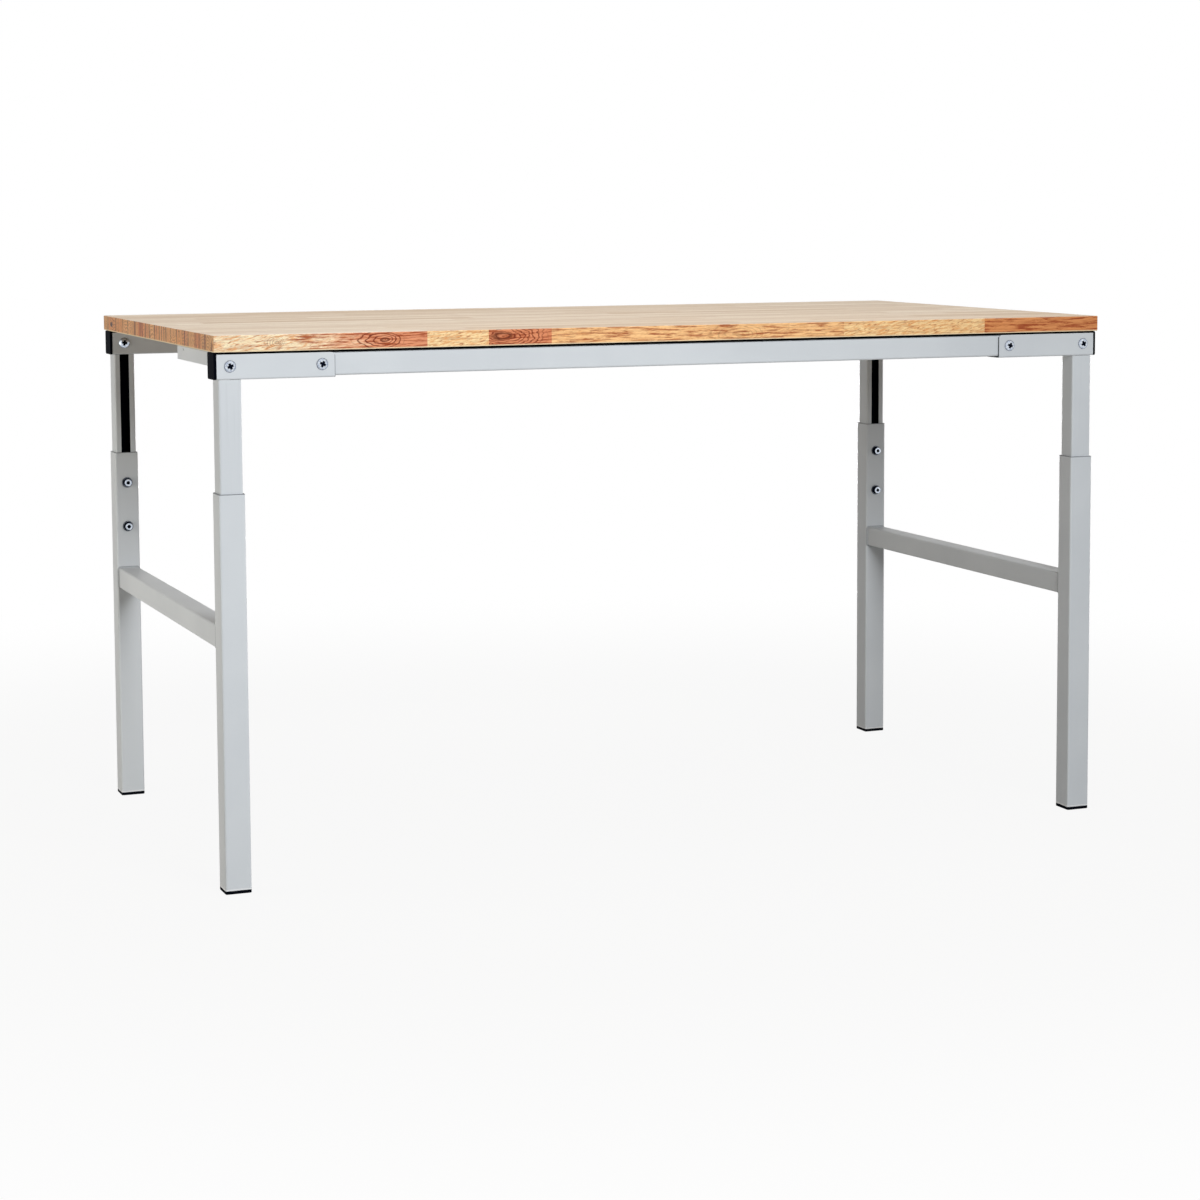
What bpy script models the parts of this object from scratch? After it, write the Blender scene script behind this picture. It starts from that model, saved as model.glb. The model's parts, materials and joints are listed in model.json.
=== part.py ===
"""Height-adjustable workbench.

A laminated wooden worktop lies on two steel rails. Each rail end sits in a U-shaped bracket on top of
an inner leg, a slotted square tube that slides in an outer leg and is clamped there by two bolts.

Metres, +Z up. The origin is on the floor below the middle of the worktop. The front faces -Y.
"""
import math

import bmesh
import bpy
from mathutils import Matrix, Vector

# Worktop
TOP_LENGTH = 1.500
TOP_DEPTH = 0.800
TOP_THICKNESS = 0.025
TOP_EDGE_ROUND = 0.0012
WORK_HEIGHT = 0.835

# Clearances between pieces
SEAT = 0.0003
SLIDE = 0.0005
HOLE = 0.0003

# Outer legs, with the foot caps under them
OUTER_TUBE = 0.040
OUTER_WALL = 0.002
OUTER_ROUND = 0.003
COLLAR_HEIGHT = 0.600
LEG_END_INSET = 0.0055
LEG_FRONT_INSET = 0.005
FOOT_FLANGE = 0.005
FOOT_PLUG = 0.025
FOOT_EDGE_ROUND = 0.0008

# Inner legs, C-shaped in section
INNER_WALL = 0.002
INNER_ROUND = 0.003
INNER_LEG_LENGTH = 0.565
SLOT_WIDTH = 0.016

# Side stretchers
STRETCHER_TUBE = 0.035
STRETCHER_WALL = 0.002
STRETCHER_ROUND = 0.003
STRETCHER_TOP = 0.400

# Rails and the U-shaped brackets that hold their ends
RAIL_TUBE = 0.035
RAIL_WALL = 0.002
RAIL_ROUND = 0.003
BRACKET_LENGTH = 0.180
BRACKET_WALL = 0.002
BRACKET_BEND = 0.0025
BRACKET_CORNER = 0.006

# Black strip between the rails and the wood
STRIP_THICKNESS = 0.0028

# Black caps on the rail ends
CAP_FLANGE = 0.004
CAP_HEIGHT = 0.040
CAP_PLUG = 0.016
CAP_ROUND = 0.003
CAP_EDGE_ROUND = 0.0008

# Bolts through the brackets and the rails
FRAME_BOLT_FIRST = 0.020
FRAME_BOLT_SECOND = 0.160
FRAME_BOLT_SHANK = 0.008
FRAME_BOLT_HEAD = 0.018
FRAME_BOLT_DOME = 0.0038
FRAME_BOLT_RIM = 0.0006
RECESS_LENGTH = 0.0075
RECESS_WIDTH = 0.0016
RECESS_DEPTH = 0.0022

# Clamp bolts and the threaded bars behind the slots
CLAMP_BOLT_FIRST = 0.052
CLAMP_BOLT_SECOND = 0.128
CLAMP_BOLT_SHANK = 0.008
CLAMP_BOLT_TIP = 0.003
CLAMP_WASHER = 0.018
CLAMP_WASHER_THICKNESS = 0.0016
CLAMP_HEAD = 0.013
CLAMP_HEAD_HEIGHT = 0.008
CLAMP_HEAD_CHAMFER = 0.0008
CLAMP_SOCKET = 0.006
CLAMP_SOCKET_DEPTH = 0.004
CLAMP_BAR_THICKNESS = 0.006
CLAMP_BAR_MARGIN = 0.017
CLAMP_BAR_ROUND = 0.0012

# Angles that hold the front part of the worktop's ends
ANGLE_LENGTH = 0.2135
ANGLE_HEIGHT = 0.022
ANGLE_WIDTH = 0.022
ANGLE_WALL = 0.002
ANGLE_BEND = 0.0025
ANGLE_HOLE = 0.004
ANGLE_HOLE_DROP = 0.0055
ANGLE_HOLE_FROM_END = 0.040
ANGLE_SCREW_FROM_END = 0.040

# Screws into the wood
SCREW_SHANK = 0.005
SCREW_HEAD = 0.010
SCREW_HEAD_HEIGHT = 0.003
SCREW_GRIP = 0.018
SCREW_POINT = 0.004
RAIL_SCREW_SPACING = 0.450

# Fineness of round work
BEND_STEPS = 3
ROUND_STEPS = 16
HOLE_STEPS = 12
DOME_STEPS = 3
MERGE_DISTANCE = 0.00001
SHARP_ANGLE = math.radians(35)
SOFTENED_ANGLE = math.radians(50)
ALONG = 0.9

# Heights and places that follow from the sizes above
TOP_UNDERSIDE = WORK_HEIGHT - TOP_THICKNESS
RAIL_TOP = TOP_UNDERSIDE - SEAT - STRIP_THICKNESS - SEAT
RAIL_CENTRE = RAIL_TOP - RAIL_TUBE / 2
BRACKET_HEIGHT = RAIL_TUBE + SEAT + BRACKET_WALL
BRACKET_BOTTOM = RAIL_TOP - BRACKET_HEIGHT
BRACKET_WIDTH = RAIL_TUBE + 2 * SLIDE + 2 * BRACKET_WALL
INNER_TUBE = OUTER_TUBE - 2 * OUTER_WALL - 2 * SLIDE
INNER_LEG_TOP = BRACKET_BOTTOM - SEAT
FRAME_END = TOP_LENGTH / 2 - LEG_END_INSET
LEG_X = FRAME_END - OUTER_TUBE / 2
LEG_Y = TOP_DEPTH / 2 - LEG_FRONT_INSET - OUTER_TUBE / 2
CLAMP_BOLT_HEIGHTS = {"upper": COLLAR_HEIGHT - CLAMP_BOLT_FIRST, "lower": COLLAR_HEIGHT - CLAMP_BOLT_SECOND}
FRAME_BOLT_PLACES = {"outer": FRAME_BOLT_FIRST, "inner": FRAME_BOLT_SECOND}
ANGLE_SCREW_X = FRAME_END - (ANGLE_WALL + ANGLE_WIDTH) / 2
ANGLE_CENTRE_Y = -(LEG_Y - BRACKET_WIDTH / 2 - SEAT - ANGLE_LENGTH / 2)

SIDES = {"left": -1, "right": 1}
ROWS = {"front": -1, "back": 1}
RAIL_SCREW_PLACES = {"left": -RAIL_SCREW_SPACING, "middle": 0.0, "right": RAIL_SCREW_SPACING}


def clear_scene():
    """Remove the objects that a new file holds."""
    for old in list(bpy.data.objects):
        bpy.data.objects.remove(old, do_unlink=True)


def new_collection(name):
    """Add a collection to the scene."""
    collection = bpy.data.collections.new(name)
    bpy.context.scene.collection.children.link(collection)
    return collection


def new_material(name, colour, roughness, metallic):
    """Make a plain material."""
    material = bpy.data.materials.new(name)
    material.use_nodes = True
    shader = material.node_tree.nodes["Principled BSDF"]
    shader.inputs["Base Color"].default_value = (*colour, 1.0)
    shader.inputs["Roughness"].default_value = roughness
    shader.inputs["Metallic"].default_value = metallic
    return material


clear_scene()
BENCH = new_collection("height_adjustable_workbench")
CUTTERS = new_collection("cutters")
WOOD = new_material("laminated_wood", (0.74, 0.50, 0.28), 0.50, 0.0)
PAINT = new_material("light_grey_paint", (0.60, 0.63, 0.66), 0.42, 0.0)
PLASTIC = new_material("black_plastic", (0.015, 0.015, 0.016), 0.45, 0.0)
ZINC = new_material("zinc_plate", (0.72, 0.74, 0.76), 0.25, 1.0)


def object_from(bm, name, collection):
    """Turn a bmesh into an object."""
    mesh = bpy.data.meshes.new(name)
    bm.to_mesh(mesh)
    bm.free()
    shape = bpy.data.objects.new(name, mesh)
    collection.objects.link(shape)
    return shape


def cube(size):
    """A box of the given size around the origin, as a bmesh."""
    bm = bmesh.new()
    bmesh.ops.create_cube(bm, size=1.0)
    bmesh.ops.scale(bm, vec=size, verts=bm.verts)
    bm.normal_update()
    return bm


def edges_along(bm, axis):
    """The edges of a box that run along one axis."""
    return [e for e in bm.edges if abs((e.verts[0].co - e.verts[1].co).normalized()[axis]) > ALONG]


def block(name, size, centre=(0, 0, 0), long_axis=2, long_round=0.0):
    """A solid box, with its four edges along one axis rounded if asked."""
    bm = cube(size)
    if long_round:
        bmesh.ops.bevel(bm, geom=edges_along(bm, long_axis), offset=long_round, segments=BEND_STEPS,
                        profile=0.5, affect="EDGES")
    bmesh.ops.translate(bm, vec=centre, verts=bm.verts)
    return object_from(bm, name, BENCH)


def folded_sheet(name, size, kept, bend, wall):
    """Sheet metal folded along the sides of a box: the kept sides, bent round and given the wall."""
    bm = cube(size)
    kept = [Vector(direction) for direction in kept]
    gone = [f for f in bm.faces if all(f.normal.dot(direction) < ALONG for direction in kept)]
    bmesh.ops.delete(bm, geom=gone, context="FACES_ONLY")
    folds = [e for e in bm.edges if len(e.link_faces) == 2]
    bmesh.ops.bevel(bm, geom=folds, offset=bend, segments=BEND_STEPS, profile=0.5, affect="EDGES")
    loose = [e for e in bm.edges if not e.link_faces]
    bmesh.ops.delete(bm, geom=loose, context="EDGES")
    sheet = object_from(bm, name, BENCH)
    thickness = sheet.modifiers.new("wall", "SOLIDIFY")
    thickness.thickness = wall
    thickness.offset = -1.0
    thickness.use_even_offset = True
    return sheet


def tube(name, width, length, axis, corner, wall):
    """A square tube around the origin, along one axis."""
    size = [width, width, width]
    size[axis] = length
    kept = [[sign * (i == across) for i in range(3)] for across in range(3) if across != axis
            for sign in (-1, 1)]
    return folded_sheet(name, size, kept, corner, wall)


def cutter(bm, name):
    """Keep a bmesh as a cutter."""
    tool = object_from(bm, name, CUTTERS)
    tool.hide_render = True
    tool.display_type = "WIRE"
    return tool


def drills(name, places, diameter, length, axis, sides=HOLE_STEPS):
    """One cutter that holds a round drill at each place."""
    bm = bmesh.new()
    turn = Vector([i == axis for i in range(3)]).to_track_quat("Z", "Y").to_matrix().to_4x4()
    for place in places:
        made = bmesh.ops.create_cone(bm, cap_ends=True, segments=sides, radius1=diameter / 2,
                                     radius2=diameter / 2, depth=length, matrix=turn)
        bmesh.ops.translate(bm, vec=place, verts=made["verts"])
    return cutter(bm, name)


def countersinks(name, places, face, wall):
    """One cutter that widens screw holes towards a tube's lower face, through the whole wall."""
    bm = bmesh.new()
    narrow = SCREW_SHANK / 2 + HOLE
    for x in places:
        made = bmesh.ops.create_cone(bm, cap_ends=True, segments=HOLE_STEPS, radius2=narrow,
                                     radius1=narrow + SCREW_HEAD - SCREW_SHANK, depth=2 * wall)
        bmesh.ops.translate(bm, vec=(x, 0, face), verts=made["verts"])
    return cutter(bm, name)


def boolean(shape, tool, operation="DIFFERENCE"):
    """Cut one shape with another, or join them."""
    step = shape.modifiers.new(tool.name, "BOOLEAN")
    step.operation = operation
    step.object = tool
    step.solver = "EXACT"


def soften(shape, width):
    """Round a shape's sharp edges a little."""
    edge = shape.modifiers.new("soft_edges", "BEVEL")
    edge.width = width
    edge.segments = 2
    edge.limit_method = "ANGLE"
    edge.angle_limit = SOFTENED_ANGLE


def bake(shape, material):
    """Apply a shape's modifiers and return its mesh. The shape and its tools are removed."""
    bpy.context.view_layer.update()
    depsgraph = bpy.context.evaluated_depsgraph_get()
    mesh = bpy.data.meshes.new_from_object(shape.evaluated_get(depsgraph))
    mesh.materials.clear()
    mesh.materials.append(material)
    mesh.shade_smooth()
    mesh.set_sharp_from_angle(angle=SHARP_ANGLE)
    tools = [step.object for step in shape.modifiers if step.type == "BOOLEAN"]
    for thing in tools + [shape]:
        bpy.data.objects.remove(thing, do_unlink=True)
    return mesh


def place(name, mesh, location, group, rotation=(0, 0, 0)):
    """Put a named piece in its place, under the empty of its group."""
    piece = bpy.data.objects.new(name, mesh)
    BENCH.objects.link(piece)
    piece.location = location
    piece.rotation_euler = rotation
    piece.parent = group
    return piece


def new_group(name):
    """An empty that carries the pieces which move together."""
    group = bpy.data.objects.new(name, None)
    BENCH.objects.link(group)
    return group


def dome(radius, height, base, steps):
    """Points of a domed head from its top on the axis to its edge."""
    sphere = (radius ** 2 + height ** 2) / (2 * height)
    reach = math.asin(radius / sphere)
    angles = [reach * i / steps for i in range(steps + 1)]
    return [(sphere * math.sin(a), base + height - sphere * (1 - math.cos(a))) for a in angles]


def turned(name, profile):
    """A solid of revolution about Z. The profile runs from the top of the axis to its bottom."""
    mesh = bpy.data.meshes.new(name)
    links = [(i, i + 1) for i in range(len(profile) - 1)]
    mesh.from_pydata([(radius, 0, height) for radius, height in profile], links, [])
    shape = bpy.data.objects.new(name, mesh)
    BENCH.objects.link(shape)
    spin = shape.modifiers.new("spin", "SCREW")
    spin.steps = ROUND_STEPS
    spin.render_steps = ROUND_STEPS
    spin.use_merge_vertices = True
    spin.merge_threshold = MERGE_DISTANCE
    return shape


def worktop_mesh():
    """The laminated board, with blind holes for the screws from below."""
    board = block("board", (TOP_LENGTH, TOP_DEPTH, TOP_THICKNESS))
    soften(board, TOP_EDGE_ROUND)
    depth = SCREW_GRIP + SEAT
    low = -TOP_THICKNESS / 2 + depth / 2 - SEAT
    places = [(x, row * LEG_Y, low) for x in RAIL_SCREW_PLACES.values() for row in ROWS.values()]
    places += [(side * ANGLE_SCREW_X, y, low) for side in SIDES.values() for y in angle_screw_rows().values()]
    boolean(board, drills("pilot_holes", places, SCREW_SHANK + 2 * HOLE, depth + SEAT, 2))
    return bake(board, WOOD)


def angle_screw_rows():
    """The two places along Y where screws hold an angle."""
    reach = ANGLE_LENGTH / 2 - ANGLE_SCREW_FROM_END
    return {"front": ANGLE_CENTRE_Y - reach, "back": ANGLE_CENTRE_Y + reach}


def rail_mesh():
    """A square tube with holes for the frame bolts and for the worktop screws."""
    rail = tube("rail", RAIL_TUBE, 2 * FRAME_END, 0, RAIL_ROUND, RAIL_WALL)
    bolts = [(side * (FRAME_END - inset), 0, 0)
             for side in SIDES.values() for inset in FRAME_BOLT_PLACES.values()]
    boolean(rail, drills("bolt_holes", bolts, FRAME_BOLT_SHANK + 2 * HOLE, 2 * RAIL_TUBE, 1))
    screws = [(x, 0, 0) for x in RAIL_SCREW_PLACES.values()]
    boolean(rail, drills("screw_holes", screws, SCREW_SHANK + 2 * HOLE, 2 * RAIL_TUBE, 2))
    boolean(rail, countersinks("screw_sinks", RAIL_SCREW_PLACES.values(), -RAIL_TUBE / 2, RAIL_WALL))
    return bake(rail, PAINT)


def strip_mesh():
    """The flat black strip on top of a rail and its brackets."""
    strip = block("strip", (2 * FRAME_END, BRACKET_WIDTH, STRIP_THICKNESS))
    screws = [(x, 0, 0) for x in RAIL_SCREW_PLACES.values()]
    boolean(strip, drills("screw_holes", screws, SCREW_SHANK + 2 * HOLE, 2 * STRIP_THICKNESS, 2))
    return bake(strip, PLASTIC)


def bracket_mesh():
    """A U-shaped holder, open at the top, with its outer end at -X and round corners at the other."""
    size = (BRACKET_LENGTH, BRACKET_WIDTH, BRACKET_HEIGHT)
    bracket = folded_sheet("bracket", size, [(0, -1, 0), (0, 1, 0), (0, 0, -1)], BRACKET_BEND, BRACKET_WALL)
    bm = bmesh.new()
    bm.from_mesh(bracket.data)
    corners = [v for v in bm.verts if v.co.x > 0 and v.co.z > BRACKET_HEIGHT / 2 - BRACKET_BEND]
    bmesh.ops.bevel(bm, geom=corners, offset=BRACKET_CORNER, segments=2 * BEND_STEPS, profile=0.5,
                    affect="VERTICES")
    bm.to_mesh(bracket.data)
    bm.free()
    height = RAIL_CENTRE - (BRACKET_BOTTOM + BRACKET_HEIGHT / 2)
    bolts = [(inset - BRACKET_LENGTH / 2, 0, height) for inset in FRAME_BOLT_PLACES.values()]
    boolean(bracket, drills("bolt_holes", bolts, FRAME_BOLT_SHANK + 2 * HOLE, 2 * BRACKET_WIDTH, 1))
    return bake(bracket, PAINT)


def end_cap_mesh():
    """A cap at -X whose flange covers the bracket's end and whose plug fits the rail's bore."""
    plug_width = RAIL_TUBE - 2 * RAIL_WALL - 2 * HOLE
    plug_length = CAP_PLUG + CAP_FLANGE / 2
    height = RAIL_CENTRE - (BRACKET_BOTTOM + CAP_HEIGHT / 2)
    outside = -CAP_FLANGE / 2 - SEAT
    flange = block("flange", (CAP_FLANGE, BRACKET_WIDTH, CAP_HEIGHT), (outside, 0, 0), 0, CAP_ROUND)
    soften(flange, CAP_EDGE_ROUND)
    middle = outside + plug_length / 2
    plug = block("plug", (plug_length, plug_width, plug_width), (middle, 0, height), 0, RAIL_ROUND - RAIL_WALL)
    boolean(flange, plug, "UNION")
    return bake(flange, PLASTIC)


def inner_leg_mesh():
    """A slotted square tube, C-shaped in section, with its slot at -Y."""
    leg = tube("inner_leg", INNER_TUBE, INNER_LEG_LENGTH, 2, INNER_ROUND, INNER_WALL)
    slot = cube((SLOT_WIDTH, INNER_TUBE / 2, 2 * INNER_LEG_LENGTH))
    bmesh.ops.translate(slot, vec=(0, -INNER_TUBE / 2, 0), verts=slot.verts)
    boolean(leg, cutter(slot, "slot"))
    return bake(leg, PAINT)


def outer_leg_mesh():
    """A square tube with two holes for the clamp bolts at -Y. Its origin is on the floor."""
    bottom = FOOT_FLANGE + SEAT
    leg = tube("outer_leg", OUTER_TUBE, COLLAR_HEIGHT - bottom, 2, OUTER_ROUND, OUTER_WALL)
    leg.data.transform(Matrix.Translation((0, 0, (COLLAR_HEIGHT + bottom) / 2)))
    bolts = [(0, -OUTER_TUBE / 2, height) for height in CLAMP_BOLT_HEIGHTS.values()]
    boolean(leg, drills("clamp_holes", bolts, CLAMP_BOLT_SHANK + 2 * HOLE, OUTER_TUBE / 2, 1))
    return bake(leg, PAINT)


def foot_cap_mesh():
    """A black foot: a flange that stands on the floor and a plug in the outer leg's bore."""
    width = OUTER_TUBE - 2 * OUTER_WALL - 2 * HOLE
    flange = block("flange", (OUTER_TUBE, OUTER_TUBE, FOOT_FLANGE), (0, 0, FOOT_FLANGE / 2), 2, OUTER_ROUND)
    soften(flange, FOOT_EDGE_ROUND)
    height = FOOT_PLUG + FOOT_FLANGE / 2
    plug = block("plug", (width, width, height), (0, 0, FOOT_FLANGE / 2 + height / 2), 2,
                 OUTER_ROUND - OUTER_WALL)
    boolean(flange, plug, "UNION")
    return bake(flange, PLASTIC)


def stretcher_mesh():
    """The square tube between the two outer legs of one side."""
    length = 2 * LEG_Y - OUTER_TUBE - 2 * SEAT
    return bake(tube("stretcher", STRETCHER_TUBE, length, 1, STRETCHER_ROUND, STRETCHER_WALL), PAINT)


def clamp_bar_mesh():
    """A threaded bar that the two clamp bolts of a leg pull against the lips of its slot."""
    width = INNER_TUBE - 2 * INNER_WALL - 2 * SLIDE
    length = CLAMP_BOLT_SECOND - CLAMP_BOLT_FIRST + 2 * CLAMP_BAR_MARGIN
    bar = block("bar", (width, CLAMP_BAR_THICKNESS, length))
    soften(bar, CLAMP_BAR_ROUND)
    reach = (CLAMP_BOLT_SECOND - CLAMP_BOLT_FIRST) / 2
    bolts = [(0, 0, reach), (0, 0, -reach)]
    boolean(bar, drills("threads", bolts, CLAMP_BOLT_SHANK + 2 * HOLE, 2 * CLAMP_BAR_THICKNESS, 1))
    return bake(bar, ZINC)


def cross_recess(shape, top, name):
    """Cut a cross into the end of a domed head. The end is at the given height."""
    for size in ((RECESS_LENGTH, RECESS_WIDTH), (RECESS_WIDTH, RECESS_LENGTH)):
        arm = cube((*size, 2 * RECESS_DEPTH))
        bmesh.ops.translate(arm, vec=(0, 0, top), verts=arm.verts)
        boolean(shape, cutter(arm, name))


def frame_bolt_mesh():
    """A bolt with a domed head at +Z and its domed nut at -Z. Its middle is the rail's middle."""
    seat = BRACKET_WIDTH / 2 + SEAT
    head = dome(FRAME_BOLT_HEAD / 2, FRAME_BOLT_DOME, seat + FRAME_BOLT_RIM, DOME_STEPS)
    upper = head + [(FRAME_BOLT_HEAD / 2, seat), (FRAME_BOLT_SHANK / 2, seat)]
    lower = [(radius, -height) for radius, height in reversed(upper)]
    bolt = turned("bolt", upper + lower)
    end = seat + FRAME_BOLT_RIM + FRAME_BOLT_DOME
    cross_recess(bolt, end, "head_recess")
    cross_recess(bolt, -end, "nut_recess")
    return bake(bolt, ZINC)


def clamp_bolt_mesh():
    """A socket-head bolt with its washer. It points along +Z, and z = 0 is the outer leg's face."""
    reach = OUTER_WALL + SLIDE + INNER_WALL + SEAT + CLAMP_BAR_THICKNESS + CLAMP_BOLT_TIP
    washer = SEAT + CLAMP_WASHER_THICKNESS
    top = washer + CLAMP_HEAD_HEIGHT
    edge = CLAMP_HEAD / 2 - CLAMP_HEAD_CHAMFER
    profile = [(0, top), (edge, top), (CLAMP_HEAD / 2, top - CLAMP_HEAD_CHAMFER), (CLAMP_HEAD / 2, washer),
               (CLAMP_WASHER / 2, washer), (CLAMP_WASHER / 2, SEAT), (CLAMP_BOLT_SHANK / 2, SEAT),
               (CLAMP_BOLT_SHANK / 2, -reach), (0, -reach)]
    bolt = turned("clamp_bolt", profile)
    across_corners = CLAMP_SOCKET / math.cos(math.pi / 6)
    boolean(bolt, drills("socket", [(0, 0, top)], across_corners, 2 * CLAMP_SOCKET_DEPTH, 2, 6))
    return bake(bolt, ZINC)


def angle_mesh(sign):
    """An angle with its screwed flange on top and its upright flange towards the bench's near end."""
    size = (ANGLE_WIDTH, ANGLE_LENGTH, ANGLE_HEIGHT)
    angle = folded_sheet("angle", size, [(sign, 0, 0), (0, 0, 1)], ANGLE_BEND, ANGLE_WALL)
    x = sign * (ANGLE_SCREW_X - (FRAME_END - ANGLE_WIDTH / 2))
    screws = [(x, y - ANGLE_CENTRE_Y, ANGLE_HEIGHT / 2) for y in angle_screw_rows().values()]
    boolean(angle, drills("screw_holes", screws, SCREW_SHANK + 2 * HOLE, ANGLE_HEIGHT, 2))
    hole = (sign * ANGLE_WIDTH / 2, ANGLE_LENGTH / 2 - ANGLE_HOLE_FROM_END, ANGLE_HEIGHT / 2 - ANGLE_HOLE_DROP)
    boolean(angle, drills("spare_hole", [hole], ANGLE_HOLE, ANGLE_WIDTH / 2, 0))
    return bake(angle, PAINT)


def screw_mesh(grip):
    """A pan-head screw that points up. z = 0 is the face under which its head sits."""
    head = dome(SCREW_HEAD / 2, SCREW_HEAD_HEIGHT, SEAT, DOME_STEPS)
    profile = [(radius, -height) for radius, height in reversed(head)]
    tip = grip + SCREW_GRIP - SEAT
    shank = [(0, tip), (SCREW_SHANK / 2, tip - SCREW_POINT), (SCREW_SHANK / 2, -SEAT)]
    return bake(turned("screw", shank + profile), ZINC)


def sunk_screw_mesh(grip):
    """A countersunk screw that points up. z = 0 is the face that its head is flush with."""
    tip = grip + SCREW_GRIP - SEAT
    profile = [(0, tip), (SCREW_SHANK / 2, tip - SCREW_POINT), (SCREW_SHANK / 2, RAIL_WALL),
               (SCREW_HEAD / 2, 0), (0, 0)]
    return bake(turned("sunk_screw", profile), ZINC)


def build_side(side, groups, meshes):
    """The legs, brackets and small pieces at one end of the bench."""
    sign = SIDES[side]
    base = groups[side + "_base"]
    for row, way in ROWS.items():
        corner = f"{row}_{side}"
        inward = 0 if way > 0 else math.pi
        outward = 0 if sign < 0 else math.pi
        x = sign * LEG_X
        y = way * LEG_Y
        place(f"outer_leg_{corner}", meshes["outer_leg"], (x, y, 0), base, (0, 0, inward))
        place(f"foot_cap_{corner}", meshes["foot_cap"], (x, y, 0), base)
        bar = INNER_TUBE / 2 - INNER_WALL - SEAT - CLAMP_BAR_THICKNESS / 2
        middle = sum(CLAMP_BOLT_HEIGHTS.values()) / len(CLAMP_BOLT_HEIGHTS)
        place(f"clamp_bar_{corner}", meshes["clamp_bar"], (x, y - way * bar, middle), base)
        for level, height in CLAMP_BOLT_HEIGHTS.items():
            face = (x, y - way * OUTER_TUBE / 2, height)
            place(f"clamp_bolt_{corner}_{level}", meshes["clamp_bolt"], face, base, (way * math.pi / 2, 0, 0))
        upper = groups["upper"]
        leg_middle = INNER_LEG_TOP - INNER_LEG_LENGTH / 2
        place(f"inner_leg_{corner}", meshes["inner_leg"], (x, y, leg_middle), upper, (0, 0, inward))
        bracket_x = sign * (FRAME_END - BRACKET_LENGTH / 2)
        bracket_z = BRACKET_BOTTOM + BRACKET_HEIGHT / 2
        place(f"rail_bracket_{corner}", meshes["bracket"], (bracket_x, y, bracket_z), upper, (0, 0, outward))
        cap_z = BRACKET_BOTTOM + CAP_HEIGHT / 2
        place(f"end_cap_{corner}", meshes["end_cap"], (sign * FRAME_END, y, cap_z), upper, (0, 0, outward))
        for spot, inset in FRAME_BOLT_PLACES.items():
            bolt_x = sign * (FRAME_END - inset)
            turn = (-way * math.pi / 2, 0, 0)
            place(f"frame_bolt_{corner}_{spot}", meshes["frame_bolt"], (bolt_x, y, RAIL_CENTRE), upper, turn)
    stretcher_z = STRETCHER_TOP - STRETCHER_TUBE / 2
    place(f"side_stretcher_{side}", meshes["stretcher"], (sign * LEG_X, 0, stretcher_z), base)


def build_angle(side, upper, meshes):
    """The angle under one end of the worktop, with its two screws."""
    sign = SIDES[side]
    x = sign * (FRAME_END - ANGLE_WIDTH / 2)
    z = TOP_UNDERSIDE - SEAT - ANGLE_HEIGHT / 2
    place(f"top_angle_{side}", angle_mesh(sign), (x, ANGLE_CENTRE_Y, z), upper)
    face = TOP_UNDERSIDE - SEAT - ANGLE_WALL
    for spot, y in angle_screw_rows().items():
        place(f"angle_screw_{side}_{spot}", meshes["angle_screw"], (sign * ANGLE_SCREW_X, y, face), upper)


def build_row(row, upper, meshes):
    """The rail along the front or the back, with its strip and screws."""
    y = ROWS[row] * LEG_Y
    place(f"{row}_rail", meshes["rail"], (0, y, RAIL_CENTRE), upper)
    place(f"top_strip_{row}", meshes["strip"], (0, y, RAIL_TOP + SEAT + STRIP_THICKNESS / 2), upper)
    for spot, x in RAIL_SCREW_PLACES.items():
        place(f"rail_screw_{row}_{spot}", meshes["rail_screw"], (x, y, RAIL_TOP - RAIL_TUBE), upper)


def build():
    """Make each mesh once and put every piece in its place."""
    groups = {name: new_group(name) for name in ("left_base", "upper", "right_base")}
    meshes = {
        "outer_leg": outer_leg_mesh(),
        "foot_cap": foot_cap_mesh(),
        "clamp_bar": clamp_bar_mesh(),
        "clamp_bolt": clamp_bolt_mesh(),
        "inner_leg": inner_leg_mesh(),
        "bracket": bracket_mesh(),
        "end_cap": end_cap_mesh(),
        "frame_bolt": frame_bolt_mesh(),
        "stretcher": stretcher_mesh(),
        "rail": rail_mesh(),
        "strip": strip_mesh(),
        "rail_screw": sunk_screw_mesh(TOP_UNDERSIDE - RAIL_TOP + RAIL_TUBE),
        "angle_screw": screw_mesh(SEAT + ANGLE_WALL),
    }
    place("worktop", worktop_mesh(), (0, 0, TOP_UNDERSIDE + TOP_THICKNESS / 2), groups["upper"])
    for side in SIDES:
        build_side(side, groups, meshes)
        build_angle(side, groups["upper"], meshes)
    for row in ROWS:
        build_row(row, groups["upper"], meshes)


build()
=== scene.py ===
# %% [markdown]
# # A height-adjustable workbench, dressed in Blender
#
# The bench is a laminated hardwood board on a light grey steel frame. Slotted inner legs slide in
# square outer legs, and screws clamp them at the height that the user wants. The solids come ready
# from the packed CAD model, so this lesson is about how they look: camera, light, finishes, and the
# few small pieces that deserve a finer mesh than the CAD gives them.
#
# The first cell loads the packed bench and keeps its box. Everything is in metres, with the floor at
# z = 0, so a piece that is built here goes exactly where the CAD says.

import json
from math import cos, pi, radians, sin

import bmesh
import bpy
from mathutils import Matrix, Vector

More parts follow.
